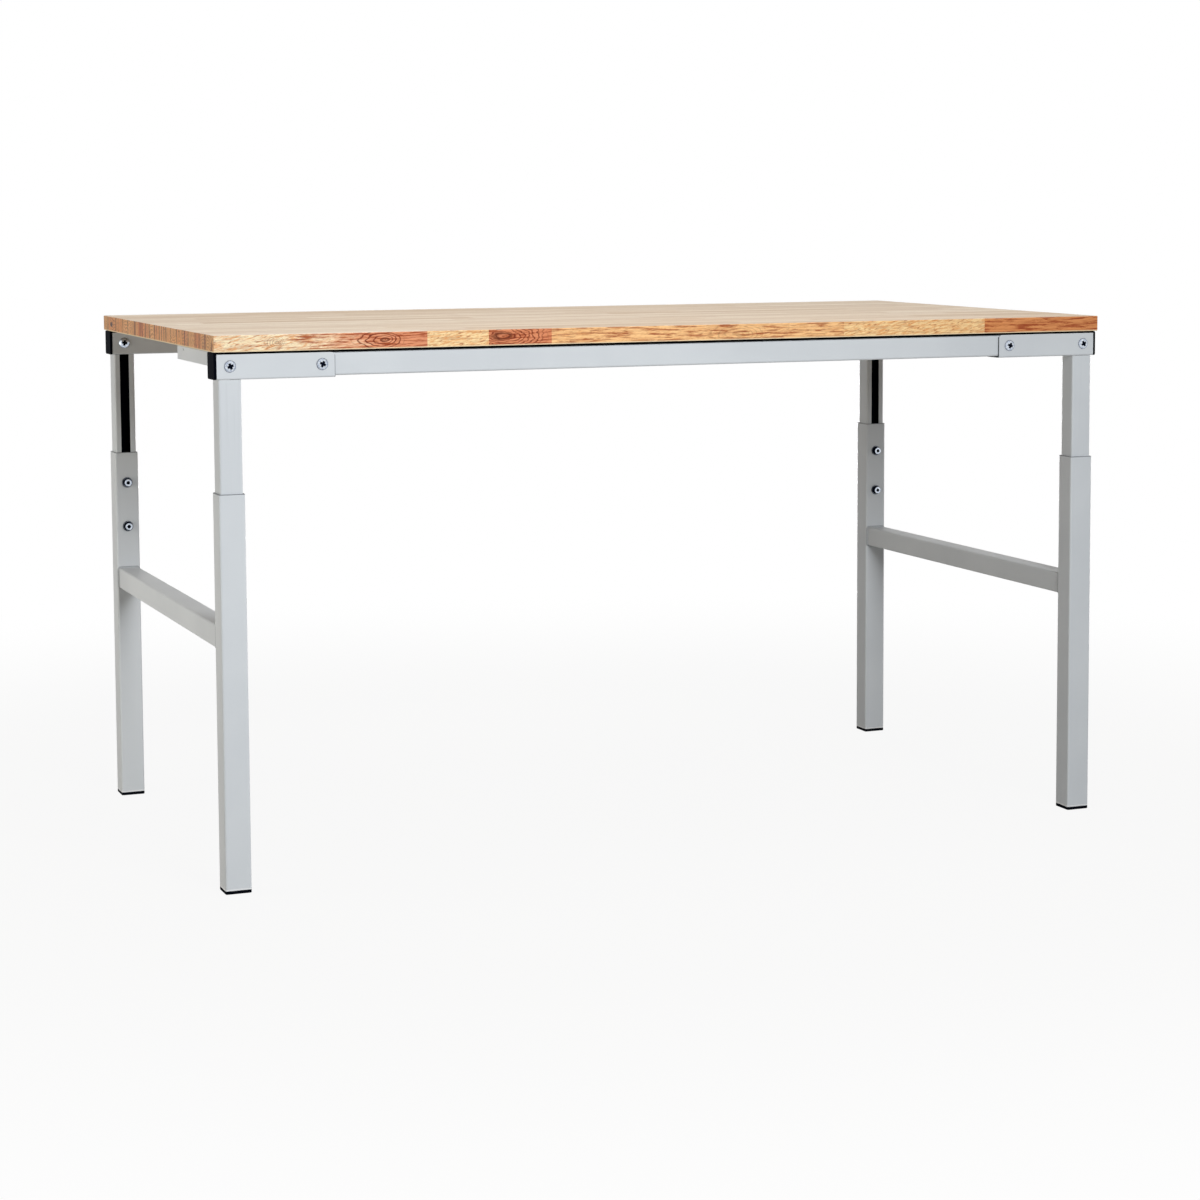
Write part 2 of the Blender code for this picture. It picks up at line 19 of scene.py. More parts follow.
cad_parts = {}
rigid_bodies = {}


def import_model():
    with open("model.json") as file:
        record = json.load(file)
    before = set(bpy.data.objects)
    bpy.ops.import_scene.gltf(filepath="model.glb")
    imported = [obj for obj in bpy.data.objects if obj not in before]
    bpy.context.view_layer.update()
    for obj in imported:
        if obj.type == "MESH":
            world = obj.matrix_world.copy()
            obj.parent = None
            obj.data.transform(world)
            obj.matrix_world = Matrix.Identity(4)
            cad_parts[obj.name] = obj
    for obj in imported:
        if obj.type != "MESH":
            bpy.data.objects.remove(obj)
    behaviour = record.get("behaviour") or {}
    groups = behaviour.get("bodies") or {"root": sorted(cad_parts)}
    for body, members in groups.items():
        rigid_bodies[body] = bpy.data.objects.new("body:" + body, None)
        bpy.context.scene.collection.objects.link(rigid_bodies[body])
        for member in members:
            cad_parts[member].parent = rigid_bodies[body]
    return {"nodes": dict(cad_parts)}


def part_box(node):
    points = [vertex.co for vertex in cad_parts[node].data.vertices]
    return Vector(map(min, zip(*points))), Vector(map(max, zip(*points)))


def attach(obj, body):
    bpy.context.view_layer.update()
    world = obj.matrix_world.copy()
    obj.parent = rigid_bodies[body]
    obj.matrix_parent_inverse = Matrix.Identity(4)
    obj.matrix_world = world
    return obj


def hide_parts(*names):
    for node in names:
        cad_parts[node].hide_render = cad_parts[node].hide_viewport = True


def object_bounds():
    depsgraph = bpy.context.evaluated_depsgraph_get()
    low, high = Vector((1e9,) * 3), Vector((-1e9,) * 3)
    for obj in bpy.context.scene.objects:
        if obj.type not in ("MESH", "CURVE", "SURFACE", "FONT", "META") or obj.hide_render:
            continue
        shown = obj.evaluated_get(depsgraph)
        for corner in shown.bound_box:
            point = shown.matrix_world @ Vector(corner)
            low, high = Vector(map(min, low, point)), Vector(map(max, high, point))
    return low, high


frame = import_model()
cad_box = [[float(value) for value in corner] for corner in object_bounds()]

# %% [markdown]
# ## Where the photographer stood
#
# A photo fixes its own camera: the place and the turn of the lens were fitted to the straight edges
# and the corners of the bench. The three angles are a turn round the vertical, a small tilt down and
# a hair of roll. The photo was also cropped, so the middle of the lens isn't the middle of the
# picture, and the camera's shift puts it back. The shift is a little smaller than the fit asks for,
# so that the bench stays inside the picture from other sides too.

# %% The camera
LENS_PLACE = Vector((-1.69711, -4.34760, 1.02928))
LENS_TURN = radians(-22.32)
LENS_TILT = radians(-5.19)
LENS_ROLL = radians(-0.22)

camera_data = bpy.data.cameras.new("photo_camera")
camera_data.sensor_width = 36.0
camera_data.lens = 82.378
camera_data.shift_x = -0.0333
camera_data.shift_y = -0.125
camera = bpy.data.objects.new("photo_camera", camera_data)
bpy.context.collection.objects.link(camera)
look = Matrix.Rotation(LENS_TURN, 4, "Z") @ Matrix.Rotation(pi / 2 + LENS_TILT, 4, "X")
camera.matrix_world = Matrix.Translation(LENS_PLACE) @ look @ Matrix.Rotation(LENS_ROLL, 4, "Z")
bpy.context.scene.camera = camera
bpy.context.scene.view_settings.view_transform = "Standard"
print("camera stands", round(LENS_PLACE.length, 2), "m from the floor under the bench's middle")

# %% [markdown]
# ## Shader maths that reads like arithmetic
#
# Most of a finish is sums on numbers that change over the surface: a distance, a mask, a noise.
# Blender does these with Math nodes, which are slow to read when they are wired by hand. `Shade`
# wraps one socket, and its operators add the node: `1 - mask` or `x * 3 + noise` is then the whole
# recipe. A vector goes through Vector Math, and a colour through Mix, because a Math node would turn
# it grey. `Recipe.node` is the one place where any other shader node is made.

# %% The class that wraps a socket
class Shade:
    """A number, vector or colour that changes over a surface."""

    def __init__(self, recipe, socket):
        self.recipe = recipe
        self.socket = socket

    def maths(self, operation, *values):
        if any(is_vector(value) for value in values):
            wide = [value if is_vector(value) else self.recipe.triple(value) for value in values]
            return self.recipe.node("VectorMath", {"operation": operation}, dict(enumerate(wide)))
        return self.recipe.node("Math", {"operation": operation}, dict(enumerate(values)))

    def __add__(self, other):
        return self.maths("ADD", self, other)

    def __radd__(self, other):
        return self.maths("ADD", other, self)

    def __sub__(self, other):
        return self.maths("SUBTRACT", self, other)

    def __rsub__(self, other):
        return self.maths("SUBTRACT", other, self)

    def __mul__(self, other):
        return self.maths("MULTIPLY", self, other)

    def __rmul__(self, other):
        return self.maths("MULTIPLY", other, self)

    def __truediv__(self, other):
        return self.maths("DIVIDE", self, other)

    def __pow__(self, other):
        return self.maths("POWER", self, other)

    def __gt__(self, other):
        return self.maths("GREATER_THAN", self, other)

    def __lt__(self, other):
        return self.maths("LESS_THAN", self, other)

    def __abs__(self):
        return self.maths("ABSOLUTE", self)

    def __floor__(self):
        return self.maths("FLOOR", self)

    def part(self):
        """What is left after the whole number."""
        return self.maths("FRACT", self)

    def sine(self):
        return self.maths("SINE", self)

    def most(self, other):
        return self.maths("MAXIMUM", self, other)

    def least(self, other):
        return self.maths("MINIMUM", self, other)

    def axes(self):
        return [self.recipe.node("SeparateXYZ", {}, {0: self}, out) for out in range(3)]


def is_vector(value):
    if isinstance(value, Shade):
        return value.socket.type in {"VECTOR", "RGBA"}
    return isinstance(value, tuple)


operations = [name for name, value in vars(Shade).items() if callable(value)]
print("shader maths ready, with", len(operations), "operations")

# %% [markdown]
# ## A recipe, and the nodes it keeps using
#
# A recipe owns the node tree of a material or of the world. Its few named helpers are the things
# that every finish on this bench needs: where a point is, which way it faces, a noise stretched along
# a grain, a soft step between two values, and a blend of two colours. Colours are written as the
# 0 to 255 values that a screen shows, and `screen` turns them into the linear light that Blender
# works in.

# %% The recipe
class Recipe:
    """The node tree of one material or world, and the one method that adds a node."""

    def __init__(self, owner):
        owner.use_nodes = True
        self.owner = owner
        self.tree = owner.node_tree
        self.tree.nodes.clear()

    def node(self, kind, settings, sockets, out=0):
        made = self.tree.nodes.new("ShaderNode" + kind)
        for name, value in settings.items():
            if name == "stops":
                set_stops(made.color_ramp, value)
            elif name == "steps":
                made.color_ramp.interpolation = value
            else:
                setattr(made, name, value)
        for name, value in sockets.items():
            self.feed(made.inputs[name], value)
        return Shade(self, made.outputs[out]) if made.outputs else made

    def feed(self, socket, value):
        if isinstance(value, Shade):
            self.tree.links.new(value.socket, socket)
        else:
            socket.default_value = value

    def triple(self, value):
        if isinstance(value, Shade):
            return self.node("CombineXYZ", {}, {0: value, 1: value, 2: value})
        return (value, value, value)

    def place(self):
        return self.node("TexCoord", {}, {}, "Object")

    def facing(self):
        return self.node("TexCoord", {}, {}, "Normal")

    def noise(self, where, scale, detail=2.0, roughness=0.5):
        sockets = {"Vector": where, "Scale": scale, "Detail": detail, "Roughness": roughness}
        return self.node("TexNoise", {}, sockets)

    def chance(self, number, out=0):
        return self.node("TexWhiteNoise", {"noise_dimensions": "1D"}, {"W": number}, out)

    def rise(self, value, low, high):
        """0 below low, 1 above high, and a soft step between."""
        return self.node("MapRange", {"interpolation_type": "SMOOTHSTEP"}, {0: value, 1: low, 2: high})

    def blend(self, factor, under, over, way="MIX"):
        return self.node("Mix", {"data_type": "RGBA", "blend_type": way}, {0: factor, 6: under, 7: over}, 2)

    def ramp(self, value, stops, steps="LINEAR", out=0):
        return self.node("ValToRGB", {"stops": stops, "steps": steps}, {0: value}, out)

    def bump(self, height, depth, strength=1.0):
        return self.node("Bump", {}, {"Height": height, "Distance": depth, "Strength": strength})

    def surface(self, sockets, unlit=None):
        """The finished material. Where unlit is 1 it is painted shade: nearly black, and it mirrors nothing.
        """
        shader = self.node("BsdfPrincipled", {}, sockets)
        if unlit:
            black = {"Base Color": UNLIT_BLUE, "Roughness": 1.0, "Specular IOR Level": 0.0}
            painted_shade_shader = self.node("BsdfPrincipled", {}, black)
            shader = self.node("MixShader", {}, {0: unlit, 1: shader, 2: painted_shade_shader})
        self.node("OutputMaterial", {}, {"Surface": shader})
        return self.owner


def set_stops(ramp, stops):
    while len(ramp.elements) < len(stops):
        ramp.elements.new(1.0)
    for element, (position, colour) in zip(ramp.elements, stops):
        element.position = position
        element.color = colour


def screen(red, green, blue, alpha=1.0):
    """A colour as a screen shows it, 0 to 255, in linear light."""
    shares = [value / 255 for value in (red, green, blue)]
    linear = [share / 12.92 if share <= 0.04045 else ((share + 0.055) / 1.055) ** 2.4 for share in shares]
    return (*linear, alpha)


UNLIT_BLUE = screen(12, 18, 30)
print("mid grey in linear light:", [round(value, 3) for value in screen(128, 128, 128)])

# %% [markdown]
# ## A white studio
#
# The photo was taken in a white studio and then cleaned, so hardly any floor shows. A real floor is
# kept all the same, because the bench should stand on something. It is pale and matt. Only for the
# camera, and for what mirrors and glass see, most of it is replaced by plain white, and all of it
# further off. That keeps a faint shadow under the bench, shows no horizon, and no more light falls on
# the bench than a plain floor gives.

# %% The floor
FLOOR_REACH = 30.0
NEAR_WHITENING = 0.92
SHADOW_REACH = (1.0, 2.6)
FLOOR_COLOUR = screen(150, 146, 140)
SEEING_RAYS = ("Is Camera Ray", "Is Glossy Ray", "Is Transmission Ray")


def background_rays(recipe):
    """1 for rays from the camera, a mirror or glass."""
    path = [recipe.node("LightPath", {}, {}, ray) for ray in SEEING_RAYS]
    return path[0].most(path[1]).most(path[2])


floor_mesh = bpy.data.meshes.new("studio_floor")
ways = ((-1, -1), (1, -1), (1, 1), (-1, 1))
floor_mesh.from_pydata([(x * FLOOR_REACH, y * FLOOR_REACH, 0.0) for x, y in ways], [], [(0, 1, 2, 3)])
floor = bpy.data.objects.new("studio_floor", floor_mesh)
bpy.context.collection.objects.link(floor)

floor_recipe = Recipe(bpy.data.materials.new("studio_floor"))
matt = floor_recipe.node("BsdfPrincipled", {}, {"Base Color": FLOOR_COLOUR, "Roughness": 0.9})
white = floor_recipe.node("Emission", {}, {"Color": (1.0, 1.0, 1.0, 1.0), "Strength": 1.0})
floor_x, floor_y = floor_recipe.place().axes()[:2]
far_off = floor_recipe.rise((floor_x * floor_x + floor_y * floor_y) ** 0.5, *SHADOW_REACH)
whitening = background_rays(floor_recipe) * (far_off * (1 - NEAR_WHITENING) + NEAR_WHITENING)
seen_floor = floor_recipe.node("MixShader", {}, {0: whitening, 1: matt, 2: white})
floor_recipe.node("OutputMaterial", {}, {"Surface": seen_floor})
floor_mesh.materials.append(floor_recipe.owner)
print("floor reaches", FLOOR_REACH, "m each way")

# %% [markdown]
# The room itself is only a background. The camera, mirrors and glass see it as plain white, but to
# the bench it gives no more than a very faint warm daylight. So the lamps, and what the floor throws
# back, are what shapes the bench.

# %% The white room around it
SOFT_DAYLIGHT = 0.035

world = bpy.data.worlds.new("white_studio")
bpy.context.scene.world = world
room = Recipe(world)
dim = room.node("Background", {}, {"Color": (1.0, 0.98, 0.94, 1.0), "Strength": SOFT_DAYLIGHT})
bright = room.node("Background", {}, {"Color": (1.0, 1.0, 1.0, 1.0), "Strength": 1.0})
seen_room = room.node("MixShader", {}, {0: background_rays(room), 1: dim, 2: bright})
room.node("OutputWorld", {}, {"Surface": seen_room})
print("room lights the bench at", SOFT_DAYLIGHT)

# %% [markdown]
# ## Soft lamps
#
# In the photo the front of the bench is lit a bit cool. The legs at the left are brighter than those
# at the right, and yet the left sides of the right legs are dark. So the front lamp stands before the
# middle, turned to the left, and its narrower spread lets the light fade to the right. Nothing mirrors
# it, because it would lie as a white patch on the board for anyone behind the bench. The outer sides
# of the left legs look warmer, so a second lamp stands close to the left end. A wide lamp overhead
# gives the board its even, pale top. The photo says nothing of the back and the right side, so two
# lamps only keep those from being gloomy. They stand lower than the board, or its top would mirror
# them. All the lamps are large, because a large lamp close by makes soft shadows.

# %% The lamps
def soft_lamp(name, place, aim, size, power, colour):
    lamp = bpy.data.lights.new(name, "AREA")
    lamp.shape = "DISK"
    lamp.size = size
    lamp.energy = power
    lamp.color = colour
    holder = bpy.data.objects.new(name, lamp)
    bpy.context.collection.objects.link(holder)
    holder.location = place
    holder.rotation_euler = (Vector(aim) - Vector(place)).to_track_quat("-Z", "Y").to_euler()
    holder.visible_camera = False
    print(name, power, "W at", place)
    return holder


front_lamp = soft_lamp("front_lamp", (0.0, -3.6, 1.9), (-0.9, -0.4, 0.5), 1.8, 58.0, (0.95, 0.975, 1.0))
front_lamp.data.spread = radians(125)
front_lamp.visible_glossy = False
soft_lamp("left_lamp", (-1.9, 0.0, 0.60), (-0.75, 0.05, 0.38), 0.9, 7.5, (1.0, 0.965, 0.88))
soft_lamp("overhead_lamp", (0.0, -0.1, 3.3), (0.0, 0.0, 0.8), 2.2, 40.0, (1.0, 0.99, 0.98))
soft_lamp("back_lamp", (0.9, 3.0, 0.42), (0.1, 0.4, 0.5), 0.8, 22.0, (0.97, 0.985, 1.0))
soft_lamp("right_lamp", (2.1, 0.3, 0.40), (0.75, 0.1, 0.45), 0.8, 5.4, (1.0, 0.98, 0.94))

# %% [markdown]
# ## The laminated worktop
#
# The board is glued up from long rows of hardwood, 40 mm wide, and each row is made of staves of
# different trees and lengths. A picture of wood would look painted on at the board's corners. So the
# wood is worked out as a solid instead: each stave gets the middle of its own trunk, and the year
# rings are the distance from it. The same rings then run as long streaks along the top and the front
# edge, and as arcs on the sawn ends.
#
# On the front edge the photo shows six staves, so the ends of those are listed. The staves of all
# other rows have one length, and chance says where each row's first one ends.

# %% Rows, staves and trunks
ROW_WIDTH = 0.040
STAVE_LENGTH = 0.46
ROW_STAGGER = 5.0
BOARD_FRONT = cad_box[0][1]
FRONT_STAVE_ENDS = (-0.422, -0.324, -0.222, 0.278, 0.535)
FRONT_NUMBER = 102.5
RING_WIDTH = 0.0050
TRUNK_ASIDE = 0.070
TRUNK_ABOVE = 0.090
TRUNK_SLANT = 0.050
RING_WANDER = 0.024
BOARD_LOW, BOARD_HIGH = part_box("worktop")

wood = Recipe(bpy.data.materials.new("oiled_laminated_hardwood"))
spot = wood.place()
along, across, up = spot.axes()
row = ((across - BOARD_FRONT) / ROW_WIDTH).__floor__()
stave = (along / STAVE_LENGTH + wood.chance(row) * ROW_STAGGER).__floor__()
front_row = across < BOARD_FRONT + ROW_WIDTH
front_stave = sum(along > end for end in FRONT_STAVE_ENDS)
number = (row * 7.3 + stave * 3.1) * (1 - front_row) + (front_stave + FRONT_NUMBER) * front_row
tone = wood.chance(number)
trunk = wood.chance(number + 0.5, out=1).axes()
row_middle = BOARD_FRONT + ROW_WIDTH / 2 + row * ROW_WIDTH
wander = wood.noise(spot * (4.0, 26.0, 26.0), 1.6, detail=5.0, roughness=0.6)
off_side = across - row_middle + (trunk[0] - 0.5) * TRUNK_ASIDE
off_height = up - (BOARD_LOW[2] + BOARD_HIGH[2]) / 2 + (trunk[1] - 0.5) * TRUNK_ABOVE
radius = (off_side * off_side + off_height * off_height) ** 0.5
slant = along * (trunk[2] - 0.5) * TRUNK_SLANT
ring_phase = (radius + slant + wander * RING_WANDER) / RING_WIDTH
print("rows:", round((BOARD_HIGH[1] - BOARD_LOW[1]) / ROW_WIDTH), "front staves:", len(FRONT_STAVE_ENDS) + 1)

# %% [markdown]
# Four knots and swirls show on the front edge. Each has rings round its middle, as wood grows them
# round a branch. An oval distance draws them: 0 at the knot's middle and 1 at its rim. They lie closer
# together on the right of each knot, and its eye is a small dark ring. Each entry of the list holds
# the place along the board, the height, half the length, half the height, the strength and how close
# the rings lie.

# %% Knots on the front edge
KNOTS = (
    (-0.488, 0.8232, 0.015, 0.0060, 1.00, 2.0), (-0.6535, 0.8225, 0.006, 0.0045, 0.45, 2.0),
    (-0.296, 0.8250, 0.034, 0.0120, 0.95, 3.6), (0.100, 0.8195, 0.021, 0.0080, 0.26, 2.0),
)

knot_lines = 0.0
knot_heart = 0.0
for knot_along, knot_up, half_length, half_height, strength, rings in KNOTS:
    own_stave = abs(front_stave - sum(knot_along > end for end in FRONT_STAVE_ENDS)) < 0.5
    own_stave = own_stave * front_row
    aside = (along - knot_along) / half_length
    above = (up - knot_up) / half_height
    bent = (wood.noise(spot * (60.0, 1.0, 140.0), 1.0) - 0.5) * 0.7
    oval = (aside * aside + above * above) ** 0.5 + aside * 0.25 + bent
    close = (1 - wood.rise(oval, 1.8, 2.8)) * own_stave
    line = wood.rise(abs((oval * rings).part() - 0.5), 0.27, 0.44)
    knot_lines = line * close * strength + knot_lines
    eye = 1 - wood.rise(abs(oval - 0.32), 0.06, 0.22)
    knot_heart = eye * own_stave * strength + knot_heart
late_wood = wood.rise(ring_phase.part(), 0.30, 1.0)
print("knots:", len(KNOTS))

# %% [markdown]
# Each front stave has a colour of its own, mixed until its render came close to the photo. A ramp with
# hard steps holds them, and its alpha holds how flecked each one is. The first stave turns from pale
# sapwood to red heartwood along its length, and streaks blur where. The board is pale on top, partly
# because it was sanded and oiled and partly as a painted sheen, and golden brown on its edges. Sawn ends
# drink more oil, so they are darker still. Short flecks lie along the grain, and a fine pore pattern
# keeps the surface from looking like plastic.
#
# Each front stave is listed as red, green and blue, and last how flecked it is.

# %% The colours of the wood
FRONT_STAVES = (
    (232, 156, 118, 0.25), (255, 226, 172, 0.95), (224, 144, 104, 0.20),
    (255, 206, 146, 0.40), (255, 220, 162, 1.00), (224, 150, 94, 0.15),
)
SAPWOOD = screen(255, 240, 202)
SAPWOOD_ENDS = (-0.655, -0.505)

facing = wood.facing().axes()
on_end = abs(facing[0]) > 0.7
on_top = abs(facing[2]) > 0.6
streaks = wood.noise(spot * (3.0, 70.0, 70.0), 1.0, detail=5.0, roughness=0.6)
streak_noise = wood.noise(spot * (22.0, 190.0, 290.0), 1.0, detail=5.0, roughness=0.70)
dark_streaks = wood.rise(streak_noise, 0.48, 0.58)
fine_streaks = wood.noise(spot * (14.0, 700.0, 700.0), 1.0, detail=2.0)
leaning = wood.node("Mapping", {}, {"Vector": spot, "Rotation": (0.0, 0.24, 0.0)})
flecks = wood.rise(wood.noise(leaning * (52.0, 260.0, 400.0), 1.0, detail=6.0, roughness=0.75), 0.46, 0.60)
specks = wood.rise(wood.noise(leaning * (95.0, 420.0, 480.0), 1.0, detail=3.0), 0.55, 0.68)

shares = []
for index, shade in enumerate(FRONT_STAVES):
    shares.append((index / len(FRONT_STAVES) + 0.001, screen(*shade[:3], alpha=shade[3])))
front_share = front_stave / len(FRONT_STAVES) + 0.05
sapwood = 1 - wood.rise(along + (streak_noise - 0.5) * 0.45, *SAPWOOD_ENDS)
front_colour = wood.blend(sapwood, wood.ramp(front_share, shares, "CONSTANT"), SAPWOOD)
front_flecks = wood.ramp(front_share, shares, "CONSTANT", out=1).most(sapwood * 0.95)
edge_tones = (
    (0.0, screen(214, 138, 88)), (0.35, screen(240, 182, 120)),
    (0.7, screen(252, 214, 158)), (1.0, screen(224, 154, 104)),
)
edge_colour = wood.blend(front_row, wood.ramp(tone, edge_tones), front_colour)
top_tones_and_sheen = ((0.0, screen(230, 208, 181)), (0.5, screen(252, 238, 217)), (1.0, screen(219, 194, 164)))
end_tones = ((0.0, screen(230, 146, 92)), (0.5, screen(248, 194, 132)), (1.0, screen(244, 170, 106)))
print("front staves coloured:", len(FRONT_STAVES))

# %% [markdown]
# The board shows three kinds of surface, and each is laid up in thin layers, as its colours come
# about in the wood: late wood first, then flecks and specks, and the knots last. The long sides show
# the grain as lines, the sanded top shows it faintly, and the sawn ends show arcs, dark bands and
# some dark glue seams. On the left end one dark spot is the pith, the middle of a trunk. A pale
# line of painted highlight follows the lower edge.

# %% Oil, flecks and the finished board
PITH = (0.335, 0.8222)
PITH_FLATNESS = 2.4
LATE_BROWN = screen(150, 62, 32)
FLECK_GOLD = screen(226, 148, 82)
SPECK_BROWN = screen(168, 88, 48)
KNOT_LINE_BROWN = screen(112, 42, 24)
KNOT_EYE_BROWN = screen(84, 40, 26)
SANDED_GRAIN = screen(184, 146, 108)
SANDED_FLECK = screen(160, 116, 80)
END_GRAIN_BROWN = screen(136, 64, 34)
END_BAND_BROWN = screen(108, 54, 36)
GLUE_BROWN = screen(84, 46, 32)
PITH_BROWN = screen(38, 26, 26)
ARRIS_HIGHLIGHT = screen(255, 234, 192)
ARRIS_HIGHLIGHT_FADE = (BOARD_LOW[2] + 0.0010, BOARD_LOW[2] + 0.0024)

plain = 1 - front_flecks
dark_grain = late_wood * (0.08 + plain * 0.30) + dark_streaks * (0.35 + plain * 0.60)
long_grain = wood.blend(dark_grain.least(0.95), edge_colour, LATE_BROWN)
long_grain = wood.blend(flecks * front_flecks * 0.80, long_grain, FLECK_GOLD)
long_grain = wood.blend(specks * front_flecks * 0.85, long_grain, SPECK_BROWN)
long_grain = wood.blend(knot_lines.least(1.0) * 0.95, long_grain, KNOT_LINE_BROWN)
long_grain = wood.blend(knot_heart.least(1.0) * 0.7, long_grain, KNOT_EYE_BROWN)
top_grain = late_wood * 0.20 + wood.rise(streaks, 0.35, 0.75) * 0.34
# the top's pale tones: partly the sanded wood, partly a painted sheen
sanded_and_sheen = wood.blend(top_grain, wood.ramp(tone, top_tones_and_sheen), SANDED_GRAIN)
sanded_and_sheen = wood.blend(flecks * 0.10 + dark_streaks * 0.14, sanded_and_sheen, SANDED_FLECK)
end_grain = late_wood * 0.72 + fine_streaks * 0.12
sawn = wood.blend(end_grain, wood.ramp(tone, end_tones), END_GRAIN_BROWN)
seam_gap = abs((across - BOARD_FRONT) / ROW_WIDTH - row - 0.5)
seam = wood.rise(seam_gap, 0.44, 0.498)
dark_band = wood.rise(wood.noise(spot * (1.0, 90.0, 7.0), 1.0, detail=3.0), 0.52, 0.62)
sawn = wood.blend(dark_band * 0.80, sawn, END_BAND_BROWN)
sawn = wood.blend(seam * wood.chance(row + 0.3), sawn, GLUE_BROWN)
pith_aside = (across - PITH[0]) / PITH_FLATNESS
pith_above = up - PITH[1]
pith_gap = (pith_aside * pith_aside + pith_above * pith_above) ** 0.5
pith = (1 - wood.rise(pith_gap, 0.0030, 0.0050)) * (along < 0.0)
sawn = wood.blend(pith * 0.95, sawn, PITH_BROWN)
board_colour = wood.blend(on_top, long_grain, sanded_and_sheen)
board_colour = wood.blend(on_end, board_colour, sawn)
# painted highlight: a pale line along the board's lower edge
arris_highlight = (1 - wood.rise(up, *ARRIS_HIGHLIGHT_FADE)) * (1 - on_top)
board_colour = wood.blend(arris_highlight * 0.85, board_colour, ARRIS_HIGHLIGHT)
board_roughness = 0.50 + streaks * 0.16 - late_wood * 0.05
board_height = fine_streaks * 0.6 + flecks * 0.25 + late_wood * 0.3
board = wood.surface({
    "Base Color": board_colour,
    "Roughness": board_roughness,
    "Normal": wood.bump(board_height, 0.00012),
    "Specular IOR Level": 0.30,
})
print("worktop finish has", len(wood.tree.nodes), "nodes")

# %% [markdown]
# ## Powder-coated steel
#
# The tubes and brackets are sprayed with a light grey powder that is melted in an oven. It ends up
# smooth but not flat: up close it has the skin of an orange. A fine noise in the bump gives that
# skin, and a slow, faint cloud in the colour keeps a long rail from looking like one flat grey.

# %% Grey powder coat
POWDER_GREY = screen(213, 217, 220)
POWDER_SHADE = screen(204, 208, 212)
POWDER_GLINT = screen(228, 231, 235)
CLOUD_SCALE = 7.0
PEEL_SCALE = 620.0
PEEL_DEPTH = 0.00010


def powder_coat(name):
    """A new recipe, and what a plain powder coat feeds to its shader."""
    recipe = Recipe(bpy.data.materials.new(name))
    where = recipe.place()
    cloud = recipe.noise(where, CLOUD_SCALE, detail=3.0)
    peel = recipe.noise(where, PEEL_SCALE, detail=1.5)
    colour = recipe.blend(recipe.rise(cloud, 0.3, 0.7) * 0.6, POWDER_GREY, POWDER_SHADE)
    colour = recipe.blend(recipe.rise(peel, 0.62, 0.8) * 0.10, colour, POWDER_GLINT)
    skin = recipe.bump(peel, PEEL_DEPTH, 0.5)
    return recipe, {"Base Color": colour, "Roughness": 0.36 + cloud * 0.10, "Normal": skin}


coat, coat_look = powder_coat("grey_powder_coat")
powder = coat.surface(coat_look)
print("powder coat has", len(coat.tree.nodes), "nodes")

# %% [markdown]
# The inner legs get their own mix of it. Their slots look pitch black in the photo, because hardly any
# light gets inside a tube. A mask on the distance from the leg's middle finds the inside walls, and they
# are painted as shade, nearly black. Faint upright rubs show where the collars slide.

# %% Powder coat with insides painted as shade, for the slotted legs
LEG_LOW, LEG_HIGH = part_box("inner_leg_front_left")
LEG_MIDDLE = [abs(LEG_LOW[axis] + LEG_HIGH[axis]) / 2 for axis in (0, 1)]
LEG_HALF = (LEG_HIGH[0] - LEG_LOW[0]) / 2
LEG_WALL = 0.002
LEG_SLACK = 0.0004
RUBBED_GREY = screen(176, 180, 184)


def from_leg_axis(recipe):
    """The larger of a point's two distances, along x and y, from the middle of its leg."""
    aside, deep = recipe.place().axes()[:2]
    return abs(abs(aside) - LEG_MIDDLE[0]).most(abs(abs(deep) - LEG_MIDDLE[1]))


slotted, leg_look = powder_coat("slotted_leg_powder_coat")
# painted shade: the inside walls of the tube are nearly black
painted_shade_inside = from_leg_axis(slotted) < LEG_HALF - LEG_WALL + LEG_SLACK
rubs = slotted.rise(slotted.noise(slotted.place() * (420.0, 420.0, 5.0), 1.0, detail=1.0), 0.60, 0.74)
leg_look["Base Color"] = slotted.blend(rubs * 0.12, leg_look["Base Color"], RUBBED_GREY)
slotted_powder = slotted.surface(leg_look, unlit=painted_shade_inside)
print("a leg is", round(LEG_HALF * 2, 4), "m square and its middle is", LEG_MIDDLE)

# %% [markdown]
# The outer legs get the same painted shade where the inner legs dip into them: the half millimetre
# between the two tubes is a thin black line in the photo. Two more lines are painted on: a light line of
# painted highlight at the foot end, where the edge catches the light, and a dark line of painted shadow
# round the top of the collar.

# %% Powder coat for the outer legs
COLLAR_LOW, COLLAR_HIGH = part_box("outer_leg_front_left")
COLLAR_HALF = (COLLAR_HIGH[0] - COLLAR_LOW[0]) / 2
COLLAR_SLACK = 0.0003
EDGE_BAND = 0.0026
FOOT_HIGHLIGHT = screen(240, 241, 242)
COLLAR_SHADOW = screen(70, 74, 82)

collar, collar_look = powder_coat("collar_powder_coat")
# painted shade: the gap between the two tubes is nearly black
painted_shade_gap = from_leg_axis(collar) < COLLAR_HALF - LEG_WALL + COLLAR_SLACK
collar_up = collar.place().axes()[2]
# painted highlight: a light band at the foot end of the tube
foot_highlight_band = collar_up < COLLAR_LOW[2] + EDGE_BAND
# painted shadow: a dark band round the top of the collar
painted_shadow_rim = collar_up > COLLAR_HIGH[2] - EDGE_BAND * 0.4
foot_highlit = collar.blend(foot_highlight_band * 0.7, collar_look["Base Color"], FOOT_HIGHLIGHT)
collar_look["Base Color"] = collar.blend(painted_shadow_rim * 0.75, foot_highlit, COLLAR_SHADOW)
collar_look["Roughness"] = collar_look["Roughness"] - foot_highlight_band * 0.08
collar_powder = collar.surface(collar_look, unlit=painted_shade_gap)
print("an outer leg is", round(COLLAR_HALF * 2, 4), "m square")

